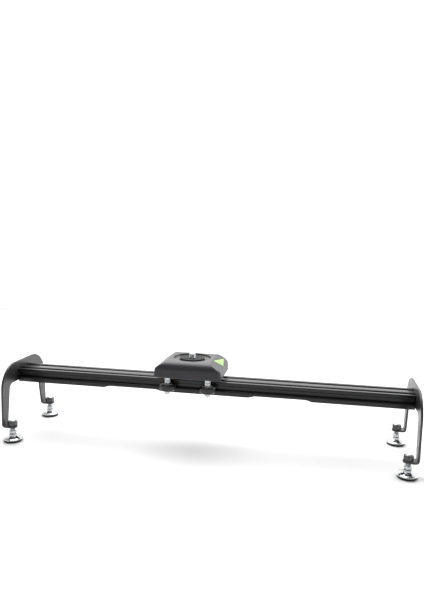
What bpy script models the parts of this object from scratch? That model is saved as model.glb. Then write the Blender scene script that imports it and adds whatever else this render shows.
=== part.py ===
"""Camera slider: an extruded rail on two bent end brackets with four levelling feet,
and a four-wheeled carriage that carries the camera screw. Metres, +X along the rail,
+Z up, -Y to the front. The origin is on the floor, below the middle of the rail."""

import math

import bmesh
import bpy
from mathutils import Vector

MM = 0.001

# Gaps that touching pieces keep
SEAT_GAP = 0.3 * MM
BORE_GAP = 0.4 * MM

# Rail: one extrusion with a V-slot in each side and two in its top
RAIL_LENGTH = 600 * MM
RAIL_WIDTH = 40 * MM
RAIL_HEIGHT = 20.5 * MM
RAIL_UNDERSIDE = 82 * MM
RAIL_EDGE = 0.5 * MM
SLOT_MOUTH = 9.2 * MM
SLOT_NECK = 6.2 * MM
SLOT_LIP = 1.8 * MM
SLOT_CAVITY = 10 * MM
SLOT_WALL = 3.2 * MM
SLOT_FLOOR = 5.7 * MM
SLOT_DEPTH = 5.4 * MM
SIDE_SLOT_HEIGHT = 11.2 * MM
HOLLOW_WIDTH = 9 * MM
HOLLOW_LOW = 5.2 * MM
HOLLOW_HIGH = 12.6 * MM
RELIEF_DEPTH = 2.6 * MM
RELIEF_START = 64 * MM
RELIEF_END = 160 * MM
RELIEF_RAMP = 13 * MM

# End screws, which clamp the brackets to tapped bores in the rail's ends
END_SCREW_RADIUS = 2.5 * MM
END_SCREW_LENGTH = 14 * MM
END_SCREW_HEAD_RADIUS = 4.75 * MM
END_SCREW_HEAD_HEIGHT = 2.7 * MM
END_SCREW_INSET = 1 * MM
END_SCREW_HEIGHT = 8 * MM

# End brackets: steel plate, an arch with two tapering legs and a bent tab under each
PLATE = 3 * MM
ARCH_RISE = 12.2 * MM
ARCH_DROP = 2 * MM
SHOULDER_RADIUS = 39.2 * MM
SHOULDER_WIDTH = 67.3 * MM
ARCH_FILLET = 10 * MM
LEG_TOP_WIDTH = 20.6 * MM
LEG_FOOT_WIDTH = 14.6 * MM
TAB_TOP = 24.5 * MM
BEND_RADIUS = 2 * MM

# Feet: threaded stud with a hex collar, zinc disc and rubber pad
FOOT_REACH = 61.8 * MM
FOOT_INSET = 10.8 * MM
STUD_RADIUS = 4 * MM
STUD_STAND = 1.4 * MM
COLLAR_FLATS = 10 * MM
COLLAR_HEIGHT = 4.4 * MM
COLLAR_STAND = 1 * MM
DISC_RADIUS = 14.8 * MM
DISC_NECK_RADIUS = 5.7 * MM
DISC_DOME_HEIGHT = 4.9 * MM
DISC_NECK_HEIGHT = 3.1 * MM
PAD_RADIUS = 13.4 * MM
PAD_HEIGHT = 3.2 * MM
FOOT_NUT_FLATS = 13 * MM
FOOT_NUT_HEIGHT = 6.5 * MM

# Wheels: V-wheels on M5 bolts, with two ball bearings each
WHEEL_RADIUS = 11.95 * MM
WHEEL_WIDTH = 10.2 * MM
WHEEL_TREAD = 5.9 * MM
WHEEL_BORE_LIP = 1 * MM
BEARING_RADIUS = 8 * MM
BEARING_WIDTH = 4.7 * MM
AXLE_RADIUS = 2.5 * MM
WHEEL_SPACING = 60.7 * MM
RUNNING_GAP = 0.42 * MM
AXLE_HEAD_RADIUS = 4.75 * MM
AXLE_HEAD_HEIGHT = 2.7 * MM
NUT_FLATS = 8 * MM
NUT_HEIGHT = 4.7 * MM
AXLE_TAIL = 1.2 * MM

# Carriage: flat plate under a moulded cover, which reaches past the wheel axles
CARRIAGE_X = -23.5 * MM
DECK = 4 * MM
COVER_END_MARGIN = 20.15 * MM
COVER_SIDE_MARGIN = 11.8 * MM
COVER_CORNER = 9 * MM
COVER_WALL = 2.4 * MM
COVER_LIFT = 0.6 * MM
COVER_SIDE = 9.9 * MM
COVER_HEIGHT = 23.6 * MM
COVER_SHOULDER = 12.5 * MM
COVER_DRAFT = 0.8 * MM
COVER_SLOPE_RUN = 17.3 * MM
COVER_SLOPE_DROP = 12 * MM
RECESS_RIM = 2 * MM
RECESS_DEPTH = 2.2 * MM
CEILING = 2.6 * MM

# Camera screw, its nut under the cover's top, and the rubber seat round it
CAMERA_SCREW_RADIUS = 4.76 * MM
CAMERA_SCREW_STAND = 6.5 * MM
CAMERA_SCREW_FLATS = 14.3 * MM
CAMERA_SCREW_HEAD = 6 * MM
CAMERA_NUT_HEIGHT = 5.5 * MM
SEAT_RADIUS = 19 * MM
SEAT_HEIGHT = 2 * MM

# Bubble level: a triangular block let into the slope at the cover's right end.
# Each corner is given from the cover's right end and from its middle line.
LEVEL_HIGH_CORNER = (16.7 * MM, -11.2 * MM)
LEVEL_REAR_CORNER = (7.2 * MM, 33.6 * MM)
LEVEL_LOW_CORNER = (1.5 * MM, 0.2 * MM)
LEVEL_THICKNESS = 5 * MM
LEVEL_CORNER_GAP = 0.8 * MM

# Heights and places that follow from the sizes above
RAIL_TOP = RAIL_UNDERSIDE + RAIL_HEIGHT
TOP_SLOT_SPACING = RAIL_WIDTH / 2
END_SCREW_SPACING = TOP_SLOT_SPACING - 2 * END_SCREW_INSET
BRACKET_X = RAIL_LENGTH / 2 + SEAT_GAP
ARCH_TOP = RAIL_TOP + ARCH_RISE
ARCH_UNDERSIDE = RAIL_UNDERSIDE + ARCH_DROP
FOOT_X = BRACKET_X - FOOT_INSET
DISC_BASE = PAD_HEIGHT + SEAT_GAP
COLLAR_BASE = DISC_BASE + DISC_DOME_HEIGHT + DISC_NECK_HEIGHT + COLLAR_STAND
STUD_TOP = TAB_TOP + SEAT_GAP + FOOT_NUT_HEIGHT + STUD_STAND
WHEEL_Z = RAIL_UNDERSIDE + SIDE_SLOT_HEIGHT
WHEEL_BITE = (SLOT_MOUTH - WHEEL_TREAD) / 2
AXLE_Y = RAIL_WIDTH / 2 - WHEEL_BITE + WHEEL_RADIUS + RUNNING_GAP
COVER_LENGTH = WHEEL_SPACING + 2 * COVER_END_MARGIN
COVER_DEPTH = 2 * (AXLE_Y + COVER_SIDE_MARGIN)
BEARING_TOP = WHEEL_BORE_LIP / 2 + SEAT_GAP + BEARING_WIDTH
DECK_UNDERSIDE = WHEEL_Z + BEARING_TOP + 2 * NUT_HEIGHT + 3 * SEAT_GAP
DECK_TOP = DECK_UNDERSIDE + DECK
COVER_BASE = DECK_UNDERSIDE + COVER_LIFT
COVER_TOP = COVER_BASE + COVER_HEIGHT
RECESS_FLOOR = COVER_TOP - RECESS_DEPTH
RECESS_RADIUS = min(COVER_LENGTH, COVER_DEPTH) / 2 - COVER_SHOULDER - RECESS_RIM


def clear_scene():
    for item in list(bpy.data.objects):
        bpy.data.objects.remove(item, do_unlink=True)


def make_material(name, colour, roughness, metallic=0.0):
    material = bpy.data.materials.new(name)
    material.use_nodes = True
    shader = material.node_tree.nodes["Principled BSDF"]
    shader.inputs["Base Color"].default_value = (*colour, 1.0)
    shader.inputs["Roughness"].default_value = roughness
    shader.inputs["Metallic"].default_value = metallic
    return material


def circle(radius, height, count):
    """Points of a horizontal circle, anticlockwise."""
    angles = [2 * math.pi * i / count for i in range(count)]
    return [(radius * math.cos(a), radius * math.sin(a), height) for a in angles]


def hexagon(flats, height):
    """Twelve points of a hexagon: each corner and the middle of each flat."""
    points = []
    for i in range(12):
        radius = flats / 2 / (math.cos(math.pi / 6) if i % 2 == 0 else 1.0)
        angle = math.pi * i / 6
        points.append((radius * math.cos(angle), radius * math.sin(angle), height))
    return points


def skin(rings, closed):
    """A closed body through rings of equal count: the last ring joins the first one
    if closed is set, and otherwise both end rings are capped."""
    bm = bmesh.new()
    loops = [[bm.verts.new(point) for point in ring] for ring in rings]
    count = len(loops[0])
    following = loops[1:] + loops[:1] if closed else loops[1:]
    for lower, upper in zip(loops, following):
        for i in range(count):
            j = (i + 1) % count
            bm.faces.new((lower[i], lower[j], upper[j], upper[i]))
    if not closed:
        bm.faces.new(list(reversed(loops[0])))
        bm.faces.new(loops[-1])
    bmesh.ops.recalc_face_normals(bm, faces=bm.faces)
    return bm


def turned(profile, count, closed=False):
    """A body turned round Z from (radius, height) points."""
    return skin([circle(radius, height, count) for radius, height in profile], closed)


def mesh_from(bm, name, material, smooth):
    mesh = bpy.data.meshes.new(name)
    bm.to_mesh(mesh)
    bm.free()
    mesh.materials.append(material)
    if smooth:
        mesh.shade_smooth()
        mesh.set_sharp_from_angle(angle=math.radians(35))
    return mesh


def place(name, mesh, location=(0, 0, 0), turn=0.0, parent=None):
    """Adds an object at a world place, below an optional parent empty."""
    item = bpy.data.objects.new(name, mesh)
    bpy.context.collection.objects.link(item)
    item.rotation_euler = (0, 0, turn)
    item.location = location
    if parent:
        item.parent = parent
        item.location = Vector(location) - parent.location
    return item


def add_empty(name, location):
    item = bpy.data.objects.new(name, None)
    bpy.context.collection.objects.link(item)
    item.location = location
    return item


def cut(target, bm, name):
    """Takes a hidden cutter's shape out of the target."""
    mesh = bpy.data.meshes.new(name)
    bm.to_mesh(mesh)
    bm.free()
    cutter = place(name, mesh)
    cutter.hide_render = True
    cutter.display_type = "WIRE"
    cutter.location = target.location
    cutter.rotation_euler = target.rotation_euler
    if target.parent:
        cutter.parent = target.parent
    modifier = target.modifiers.new(name, "BOOLEAN")
    modifier.operation = "DIFFERENCE"
    modifier.solver = "EXACT"
    modifier.object = cutter


def along_x(bm, x, y, z):
    """Turns a body made along Z to lie along +X, and moves its base to the place."""
    for vertex in bm.verts:
        a, b, c = vertex.co
        vertex.co = (x + c, y + b, z - a)
    return bm


def slot_outline():
    """Half a V-slot as (half width, depth), from its mouth to its floor."""
    taper = (SLOT_MOUTH - SLOT_NECK) / 2
    return [
        (SLOT_MOUTH / 2, 0),
        (SLOT_NECK / 2, taper),
        (SLOT_NECK / 2, SLOT_LIP),
        (SLOT_CAVITY / 2, SLOT_LIP),
        (SLOT_CAVITY / 2, SLOT_WALL),
        (SLOT_FLOOR / 2, SLOT_DEPTH),
    ]


def rail_outline():
    """The rail's section as (y, z) above its underside, anticlockwise."""
    side = RAIL_WIDTH / 2
    half = slot_outline()
    whole = [(-a, d) for a, d in half] + [(a, d) for a, d in reversed(half)]
    right = [(side - RAIL_EDGE, 0), (side, RAIL_EDGE)]
    right += [(side - d, SIDE_SLOT_HEIGHT + a) for a, d in whole]
    right += [(side, RAIL_HEIGHT - RAIL_EDGE), (side - RAIL_EDGE, RAIL_HEIGHT)]
    right += [(TOP_SLOT_SPACING / 2 - a, RAIL_HEIGHT - d) for a, d in whole]
    left = [(-y, z) for y, z in reversed(right)]
    return right + left


def relief_cutter(side):
    """The shallow cut along the rail's underside, with an S-shaped ramp at each end."""
    steps = 6
    profile = []
    for i in range(steps + 1):
        share = i / steps
        rise = RELIEF_DEPTH * (1 - math.cos(math.pi * share)) / 2
        profile.append((RELIEF_START + RELIEF_RAMP * share, rise))
    profile += [(RELIEF_START + RELIEF_END - x, z) for x, z in reversed(profile)]
    below = -RELIEF_DEPTH
    profile += [(RELIEF_END, below), (RELIEF_START, below)]
    return skin([[(side * x, y, z) for x, z in profile] for y in (-RAIL_WIDTH, RAIL_WIDTH)], False)


def add_rail(material):
    half = RAIL_LENGTH / 2
    bm = skin([[(x, y, z) for y, z in rail_outline()] for x in (-half, half)], False)
    rail = place("rail", mesh_from(bm, "rail", material, False), (0, 0, RAIL_UNDERSIDE))
    hollow = [
        (-HOLLOW_WIDTH / 2, HOLLOW_LOW),
        (HOLLOW_WIDTH / 2, HOLLOW_LOW),
        (HOLLOW_WIDTH / 2, HOLLOW_HIGH),
        (-HOLLOW_WIDTH / 2, HOLLOW_HIGH),
    ]
    ends = (-half - PLATE, half + PLATE)
    cut(rail, skin([[(x, y, z) for y, z in hollow] for x in ends], False), "rail_hollow")
    for number, y in enumerate((-END_SCREW_SPACING / 2, END_SCREW_SPACING / 2)):
        bore = turned([(END_SCREW_RADIUS + BORE_GAP, h) for h in (0, RAIL_LENGTH + 2 * PLATE)], 12)
        cut(rail, along_x(bore, -half - PLATE, y, END_SCREW_HEIGHT), f"rail_bore_{number}")
    for side, name in ((-1, "left"), (1, "right")):
        cut(rail, relief_cutter(side), f"rail_relief_{name}")


def bracket_outline(side):
    """The arch's half outline on one side, from its top middle down to the leg's foot
    and back up to the arch's underside, as (y, z)."""
    shoulder_y = SHOULDER_WIDTH - SHOULDER_RADIUS
    shoulder_z = ARCH_TOP - SHOULDER_RADIUS
    bend_z = TAB_TOP + BEND_RADIUS
    points = []
    for i in range(9):
        angle = math.pi / 2 * (1 - i / 8)
        y = shoulder_y + SHOULDER_RADIUS * math.cos(angle)
        points.append((y, shoulder_z + SHOULDER_RADIUS * math.sin(angle)))
    points.append((FOOT_REACH + LEG_FOOT_WIDTH / 2, bend_z))
    points.append((FOOT_REACH - LEG_FOOT_WIDTH / 2, bend_z))
    fillet_y = SHOULDER_WIDTH - LEG_TOP_WIDTH - ARCH_FILLET
    fillet_z = ARCH_UNDERSIDE - ARCH_FILLET
    for i in range(5):
        angle = math.pi / 2 * i / 4
        y = fillet_y + ARCH_FILLET * math.cos(angle)
        points.append((y, fillet_z + ARCH_FILLET * math.sin(angle)))
    return [(side * y, z) for y, z in points]


def bracket_sheet():
    """The bracket's inner face: the arch, and at each leg a bend and a round-ended tab.
    The bracket stands at the +X end, with its thickness outside this face."""
    bm = bmesh.new()
    halves = {}
    for side in (1, -1):
        halves[side] = [bm.verts.new((BRACKET_X, y, z)) for y, z in bracket_outline(side)]
    bm.faces.new(halves[1] + list(reversed(halves[-1])))
    for side in (1, -1):
        outer, inner = halves[side][9], halves[side][10]
        for i in range(1, 5):
            angle = math.pi / 2 * i / 4
            x = BRACKET_X - BEND_RADIUS + BEND_RADIUS * math.cos(angle)
            z = TAB_TOP + BEND_RADIUS - BEND_RADIUS * math.sin(angle)
            next_outer = bm.verts.new((x, outer.co.y, z))
            next_inner = bm.verts.new((x, inner.co.y, z))
            bm.faces.new((outer, inner, next_inner, next_outer))
            outer, inner = next_outer, next_inner
        rim = []
        for i in range(11):
            angle = math.pi * i / 10
            x = FOOT_X - LEG_FOOT_WIDTH / 2 * math.sin(angle)
            y = side * (FOOT_REACH + LEG_FOOT_WIDTH / 2 * math.cos(angle))
            rim.append(bm.verts.new((x, y, TAB_TOP)))
        bm.faces.new([outer] + rim + [inner])
    bmesh.ops.recalc_face_normals(bm, faces=bm.faces)
    arch = max(bm.faces, key=lambda face: face.calc_area())
    if arch.normal.x > 0:
        bmesh.ops.reverse_faces(bm, faces=bm.faces)
    return bm


def add_bracket(name, mesh, turn):
    """Both ends use one bracket, which is turned half round for the left end."""
    bracket = place(name, mesh, turn=turn)
    solidify = bracket.modifiers.new("plate", "SOLIDIFY")
    solidify.thickness = PLATE
    solidify.offset = -1
    solidify.use_even_offset = True
    margin = 2 * PLATE
    for side, word in ((-1, "front"), (1, "back")):
        hole = turned([(STUD_RADIUS + BORE_GAP + 0.1 * MM, h) for h in (-margin, margin)], 16)
        for vertex in hole.verts:
            vertex.co += Vector((FOOT_X, side * FOOT_REACH, TAB_TOP))
        cut(bracket, hole, f"{name}_{word}_stud_hole")
        hole = turned([(END_SCREW_RADIUS + BORE_GAP, h) for h in (-margin, margin)], 12)
        height = RAIL_UNDERSIDE + END_SCREW_HEIGHT
        along_x(hole, BRACKET_X, side * END_SCREW_SPACING / 2, height)
        cut(bracket, hole, f"{name}_{word}_screw_hole")


def button_screw(radius, length, head_radius, head_height, count):
    """A button-head screw along Z, with its shank's tip lowest and its head's base at 0."""
    profile = [
        (radius - 0.4 * MM, -length),
        (radius, -length + 0.5 * MM),
        (radius, 0),
        (head_radius, 0),
        (head_radius, 0.3 * head_height),
        (0.85 * head_radius, 0.75 * head_height),
        (0.55 * head_radius, head_height),
    ]
    bm = turned(profile, count)
    socket = turned([(radius * 0.55, head_height * 0.4), (radius * 0.55, 2 * head_height)], 6)
    return bm, socket


def add_end_screws(material):
    head_x = BRACKET_X + PLATE + SEAT_GAP
    size = (END_SCREW_RADIUS, END_SCREW_LENGTH, END_SCREW_HEAD_RADIUS, END_SCREW_HEAD_HEIGHT)
    for end, turn in (("left", math.pi), ("right", 0.0)):
        for side, word in ((-1, "front"), (1, "back")):
            y = side * END_SCREW_SPACING / 2 * (1 if end == "right" else -1)
            bm, socket = button_screw(*size, 16)
            centre = (head_x, y, RAIL_UNDERSIDE + END_SCREW_HEIGHT)
            name = f"{end}_{word}_end_screw"
            screw = place(name, mesh_from(along_x(bm, *centre), name, material, True), turn=turn)
            cut(screw, along_x(socket, *centre), f"{name}_socket")


def nut(flats, height, bore, chamfer=0.5 * MM):
    """A hexagon nut with its base at 0, chamfered at both ends."""
    rings = [
        circle(bore, 0, 12),
        circle(flats / 2, 0, 12),
        hexagon(flats, chamfer),
        hexagon(flats, height - chamfer),
        circle(flats / 2, height, 12),
        circle(bore, height, 12),
    ]
    return skin(rings, True)


def foot_stud():
    """Threaded stud with a hex collar above its neck, which sits in the disc."""
    chamfer = 0.6 * MM
    collar_top = COLLAR_BASE + COLLAR_HEIGHT
    rings = [
        circle(STUD_RADIUS - chamfer, DISC_BASE + SEAT_GAP, 12),
        circle(STUD_RADIUS, DISC_BASE + SEAT_GAP + chamfer, 12),
        circle(STUD_RADIUS, COLLAR_BASE, 12),
        circle(COLLAR_FLATS / 2, COLLAR_BASE, 12),
        hexagon(COLLAR_FLATS, COLLAR_BASE + chamfer),
        hexagon(COLLAR_FLATS, collar_top - chamfer),
        circle(COLLAR_FLATS / 2, collar_top, 12),
        circle(STUD_RADIUS, collar_top, 12),
        circle(STUD_RADIUS, STUD_TOP - chamfer, 12),
        circle(STUD_RADIUS - chamfer, STUD_TOP, 12),
    ]
    return skin(rings, False)


def foot_disc():
    """Pressed zinc disc, domed up to a neck that holds the stud's foot."""
    bore = STUD_RADIUS + BORE_GAP
    dome = DISC_BASE + DISC_DOME_HEIGHT
    crown = dome + DISC_NECK_HEIGHT
    slope = DISC_RADIUS - DISC_NECK_RADIUS
    profile = [
        (bore, DISC_BASE),
        (DISC_RADIUS - 0.7 * MM, DISC_BASE),
        (DISC_RADIUS, DISC_BASE + 0.6 * MM),
        (DISC_RADIUS - 0.3 * MM, DISC_BASE + 1.3 * MM),
        (DISC_NECK_RADIUS + 0.7 * slope, DISC_BASE + 0.5 * DISC_DOME_HEIGHT),
        (DISC_NECK_RADIUS + 0.3 * slope, DISC_BASE + 0.82 * DISC_DOME_HEIGHT),
        (DISC_NECK_RADIUS, dome),
        (DISC_NECK_RADIUS, crown - 0.5 * MM),
        (DISC_NECK_RADIUS - 0.5 * MM, crown),
        (bore, crown),
    ]
    return turned(profile, 24, True)


def foot_pad():
    profile = [
        (PAD_RADIUS - 0.7 * MM, 0),
        (PAD_RADIUS, 0.7 * MM),
        (PAD_RADIUS, PAD_HEIGHT),
    ]
    return turned(profile, 24)


def add_feet(zinc, steel, rubber, black):
    lock_nut = nut(FOOT_NUT_FLATS, FOOT_NUT_HEIGHT, STUD_RADIUS + BORE_GAP + 0.1 * MM)
    pieces = [
        ("foot_stud", mesh_from(foot_stud(), "foot_stud", steel, True), 0),
        ("foot_disc", mesh_from(foot_disc(), "foot_disc", zinc, True), 0),
        ("foot_pad", mesh_from(foot_pad(), "foot_pad", rubber, True), 0),
        ("foot_nut", mesh_from(lock_nut, "foot_nut", black, False), TAB_TOP + SEAT_GAP),
    ]
    for end, x in (("left", -FOOT_X), ("right", FOOT_X)):
        for word, y in (("front", -FOOT_REACH), ("back", FOOT_REACH)):
            for piece, mesh, height in pieces:
                place(f"{end}_{word}_{piece}", mesh, (x, y, height))


def wheel():
    """V-wheel round Z: flat tread, 45-degree flanks and a lip between its bearings."""
    half = WHEEL_WIDTH / 2
    tread = WHEEL_TREAD / 2
    shoulder = WHEEL_RADIUS - (half - tread)
    bore = BEARING_RADIUS + SEAT_GAP
    lip = WHEEL_BORE_LIP / 2
    profile = [
        (bore, -half),
        (shoulder, -half),
        (WHEEL_RADIUS, -tread),
        (WHEEL_RADIUS, tread),
        (shoulder, half),
        (bore, half),
        (bore, lip),
        (bore - 1.2 * MM, lip),
        (bore - 1.2 * MM, -lip),
        (bore, -lip),
    ]
    return turned(profile, 32, True)


def bearing():
    bore = AXLE_RADIUS + SEAT_GAP
    profile = [
        (bore, 0),
        (BEARING_RADIUS, 0),
        (BEARING_RADIUS, BEARING_WIDTH),
        (bore, BEARING_WIDTH),
    ]
    return turned(profile, 16, True)


def add_wheels(carriage, black, steel):
    """Each wheel is turned half a facet so that a flat of its tread never meets the slot."""
    wheel_mesh = mesh_from(wheel(), "wheel", black, True)
    bearing_mesh = mesh_from(bearing(), "wheel_bearing", steel, True)
    nut_mesh = mesh_from(nut(NUT_FLATS, NUT_HEIGHT, AXLE_RADIUS + BORE_GAP), "axle_nut", steel, False)
    length = DECK_TOP + SEAT_GAP - WHEEL_Z + BEARING_TOP + SEAT_GAP + NUT_HEIGHT + AXLE_TAIL
    bolt, socket = button_screw(AXLE_RADIUS, length, AXLE_HEAD_RADIUS, AXLE_HEAD_HEIGHT, 12)
    bolt_mesh = mesh_from(bolt, "axle_bolt", steel, True)
    socket_mesh = bpy.data.meshes.new("axle_socket")
    socket.to_mesh(socket_mesh)
    socket.free()
    nuts = {
        "upper_nut": DECK_UNDERSIDE - SEAT_GAP - NUT_HEIGHT,
        "spacer_nut": WHEEL_Z + BEARING_TOP + SEAT_GAP,
        "lower_nut": WHEEL_Z - BEARING_TOP - SEAT_GAP - NUT_HEIGHT,
    }
    for end, dx in (("left", -WHEEL_SPACING / 2), ("right", WHEEL_SPACING / 2)):
        for word, y in (("front", -AXLE_Y), ("back", AXLE_Y)):
            x = CARRIAGE_X + dx
            name = f"{end}_{word}"
            place(f"{name}_wheel", wheel_mesh, (x, y, WHEEL_Z), parent=carriage)
            rest = WHEEL_Z + WHEEL_BORE_LIP / 2 + SEAT_GAP
            place(f"{name}_wheel_bearing_upper", bearing_mesh, (x, y, rest), parent=carriage)
            rest = WHEEL_Z - BEARING_TOP
            place(f"{name}_wheel_bearing_lower", bearing_mesh, (x, y, rest), parent=carriage)
            for piece, height in nuts.items():
                place(f"{name}_{piece}", nut_mesh, (x, y, height), parent=carriage)
            head = (x, y, DECK_TOP + SEAT_GAP)
            item = place(f"{name}_axle_bolt", bolt_mesh, head, parent=carriage)
            cutter = place(f"{name}_axle_socket", socket_mesh, head, parent=carriage)
            cutter.hide_render = True
            cutter.display_type = "WIRE"
            modifier = item.modifiers.new("socket", "BOOLEAN")
            modifier.solver = "EXACT"
            modifier.object = cutter


def round_rectangle(half_x, half_y, corner, height):
    """Forty points of a rectangle with round corners, ten to a corner, anticlockwise."""
    points = []
    for quarter, (sx, sy) in enumerate(((1, 1), (-1, 1), (-1, -1), (1, -1))):
        for i in range(10):
            angle = math.pi / 2 * (quarter + i / 9)
            x = sx * (half_x - corner) + corner * math.cos(angle)
            y = sy * (half_y - corner) + corner * math.sin(angle)
            points.append((x, y, height))
    return points


def matching_circle(radius, height):
    """Forty points of a circle that face the points of a round rectangle."""
    angles = [math.pi / 2 * (quarter + (i + 0.5) / 10) for quarter in range(4) for i in range(10)]
    return [(radius * math.cos(a), radius * math.sin(a), height) for a in angles]


def slope_reach(height, wall):
    """How far out the flat slopes at the cover's two ends lie at a height, less the wall."""
    run = COVER_SLOPE_RUN * (height - COVER_HEIGHT + COVER_SLOPE_DROP) / COVER_SLOPE_DROP
    return COVER_LENGTH / 2 - run - wall * math.hypot(COVER_SLOPE_RUN, COVER_SLOPE_DROP) / COVER_SLOPE_DROP


def cover_ring(inset, height, wall=0.0):
    """A rounded rectangle round the cover at a height, held inside the two end slopes."""
    half_x = COVER_LENGTH / 2 - inset - wall
    half_y = COVER_DEPTH / 2 - inset - wall
    ring = round_rectangle(half_x, half_y, max(COVER_CORNER - 0.3 * inset - wall, 1 * MM), height)
    reach = slope_reach(height, wall)
    return [(max(-reach, min(reach, x)), y, z) for x, y, z in ring]


def cover_shell():
    """Moulded cover: a low wall, a round shoulder and a flat top with a round recess,
    followed inside by a ceiling and inner walls down to the open underside."""
    shoulder = []
    for i in range(7):
        angle = math.pi / 2 * i / 6
        inset = COVER_SHOULDER - (COVER_SHOULDER - COVER_DRAFT) * math.cos(angle)
        height = COVER_SIDE + (COVER_HEIGHT - COVER_SIDE) * math.sin(angle)
        shoulder.append((inset, height))
    bore = CAMERA_SCREW_RADIUS + BORE_GAP
    floor = COVER_HEIGHT - RECESS_DEPTH
    rings = [cover_ring(0, 0)]
    rings += [cover_ring(inset, height) for inset, height in shoulder]
    rings.append(matching_circle(RECESS_RADIUS, COVER_HEIGHT))
    rings.append(matching_circle(RECESS_RADIUS - 0.3 * MM, floor))
    rings.append(matching_circle(bore, floor))
    rings.append(matching_circle(bore, floor - CEILING))
    rings.append(matching_circle(RECESS_RADIUS - 2 * MM, floor - CEILING))
    for inset, height in reversed(shoulder[:-1]):
        drop = (floor - CEILING) / COVER_HEIGHT
        rings.append(cover_ring(inset, height * drop, COVER_WALL))
    rings.append(cover_ring(0, 0, COVER_WALL))
    return skin(rings, True)


def level_corners(shrink):
    """The level's three corners on its face, drawn in by the fitting gap."""
    corners = []
    for inset, y in (LEVEL_HIGH_CORNER, LEVEL_REAR_CORNER, LEVEL_LOW_CORNER):
        drop = COVER_SLOPE_DROP * (1 - inset / COVER_SLOPE_RUN)
        corners.append(Vector((COVER_LENGTH / 2 - inset, y, COVER_HEIGHT - drop)))
    middle = sum(corners, Vector()) / 3
    return [corner + (middle - corner).normalized() * shrink for corner in corners]


def level_prism(shrink, above, below):
    """A triangular prism square to the level's face, from above it to below it."""
    corners = level_corners(shrink)
    outward = (corners[2] - corners[0]).cross(corners[1] - corners[0]).normalized()
    rings = [[corner + outward * offset for corner in corners] for offset in (-below, above)]
    return skin(rings, False)


def add_carriage(carriage, aluminium, plastic, rubber, steel, green):
    deck = round_rectangle(
        COVER_LENGTH / 2 - COVER_WALL - BORE_GAP,
        COVER_DEPTH / 2 - COVER_WALL - BORE_GAP,
        COVER_CORNER - COVER_WALL,
        0,
    )
    bm = skin([[(x, y, z) for x, y, _ in deck] for z in (0, DECK)], False)
    mesh = mesh_from(bm, "carriage_plate", aluminium, False)
    plate = place("carriage_plate", mesh, (CARRIAGE_X, 0, DECK_UNDERSIDE), parent=carriage)
    for number in range(4):
        x = WHEEL_SPACING / 2 * (1 if number % 2 else -1)
        y = AXLE_Y * (1 if number // 2 else -1)
        hole = turned([(AXLE_RADIUS + BORE_GAP, h) for h in (-DECK, 2 * DECK)], 12)
        for vertex in hole.verts:
            vertex.co += Vector((x, y, 0))
        cut(plate, hole, f"carriage_plate_hole_{number}")

    base = (CARRIAGE_X, 0, COVER_BASE)
    cover = place("carriage_cover", mesh_from(cover_shell(), "carriage_cover", plastic, True), base,
                  parent=carriage)
    cut(cover, level_prism(0, COVER_SHOULDER, LEVEL_THICKNESS + SEAT_GAP), "level_pocket")
    bm = level_prism(LEVEL_CORNER_GAP, 0, LEVEL_THICKNESS)
    place("bubble_level", mesh_from(bm, "bubble_level", green, False), base, parent=carriage)

    bore = CAMERA_SCREW_RADIUS + BORE_GAP
    seat = [(bore, 0), (SEAT_RADIUS, 0), (SEAT_RADIUS, SEAT_HEIGHT - 0.4 * MM),
            (SEAT_RADIUS - 0.4 * MM, SEAT_HEIGHT), (bore, SEAT_HEIGHT)]
    mesh = mesh_from(turned(seat, 32, True), "camera_seat", rubber, True)
    place("camera_seat", mesh, (CARRIAGE_X, 0, RECESS_FLOOR + SEAT_GAP), parent=carriage)

    head_base = DECK_TOP + SEAT_GAP
    shank_top = RECESS_FLOOR + SEAT_GAP + SEAT_HEIGHT + CAMERA_SCREW_STAND - head_base
    chamfer = 0.8 * MM
    rings = [
        circle(CAMERA_SCREW_FLATS / 2, 0, 12),
        hexagon(CAMERA_SCREW_FLATS, chamfer),
        hexagon(CAMERA_SCREW_FLATS, CAMERA_SCREW_HEAD),
        circle(CAMERA_SCREW_RADIUS, CAMERA_SCREW_HEAD, 12),
        circle(CAMERA_SCREW_RADIUS, shank_top - chamfer, 12),
        circle(CAMERA_SCREW_RADIUS - chamfer, shank_top, 12),
    ]
    mesh = mesh_from(skin(rings, False), "camera_screw", steel, True)
    place("camera_screw", mesh, (CARRIAGE_X, 0, head_base), parent=carriage)
    bm = nut(CAMERA_SCREW_FLATS, CAMERA_NUT_HEIGHT, CAMERA_SCREW_RADIUS + BORE_GAP)
    height = RECESS_FLOOR - CEILING - SEAT_GAP - CAMERA_NUT_HEIGHT
    mesh = mesh_from(bm, "camera_screw_nut", steel, False)
    place("camera_screw_nut", mesh, (CARRIAGE_X, 0, height), parent=carriage)


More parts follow.
